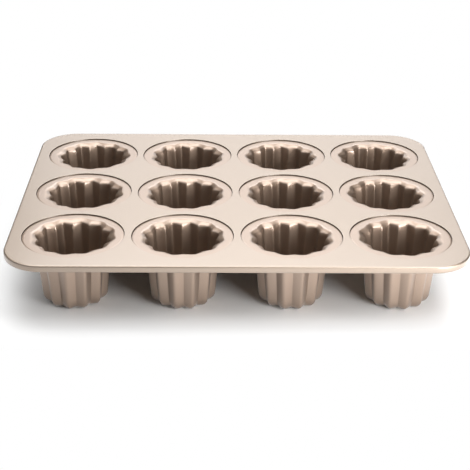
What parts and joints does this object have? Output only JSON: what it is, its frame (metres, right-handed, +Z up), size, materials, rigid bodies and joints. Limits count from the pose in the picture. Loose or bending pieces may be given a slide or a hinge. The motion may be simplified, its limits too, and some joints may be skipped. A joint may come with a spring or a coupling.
{
  "type": "canele pan",
  "caption": "Flat bakeware deck with a hemmed turned-down rim and deep fluted cups hanging in rows from round recesses, for baking small ridged cakes.",
  "frame": {"origin": "on the surface the pan stands on, under the middle of the deck", "axes": "+X to the right along the long side, +Y to the back, +Z up out of the cups"},
  "size_m": [0.334, 0.262, 0.051],
  "materials": {
    "deck_coat": "satin champagne non-stick coat on steel sheet",
    "cup_coat": "satin champagne non-stick coat on drawn steel"
  },
  "bodies": {
    "root": {"deck_plate": "deck_coat", "cup_row1_col1": "cup_coat", "cup_row1_col2": "cup_coat", "cup_row1_col3": "cup_coat", "cup_row1_col4": "cup_coat", "cup_row2_col1": "cup_coat", "cup_row2_col2": "cup_coat", "cup_row2_col3": "cup_coat", "cup_row2_col4": "cup_coat", "cup_row3_col1": "cup_coat", "cup_row3_col2": "cup_coat", "cup_row3_col3": "cup_coat", "cup_row3_col4": "cup_coat"}
  },
  "joints": []
}
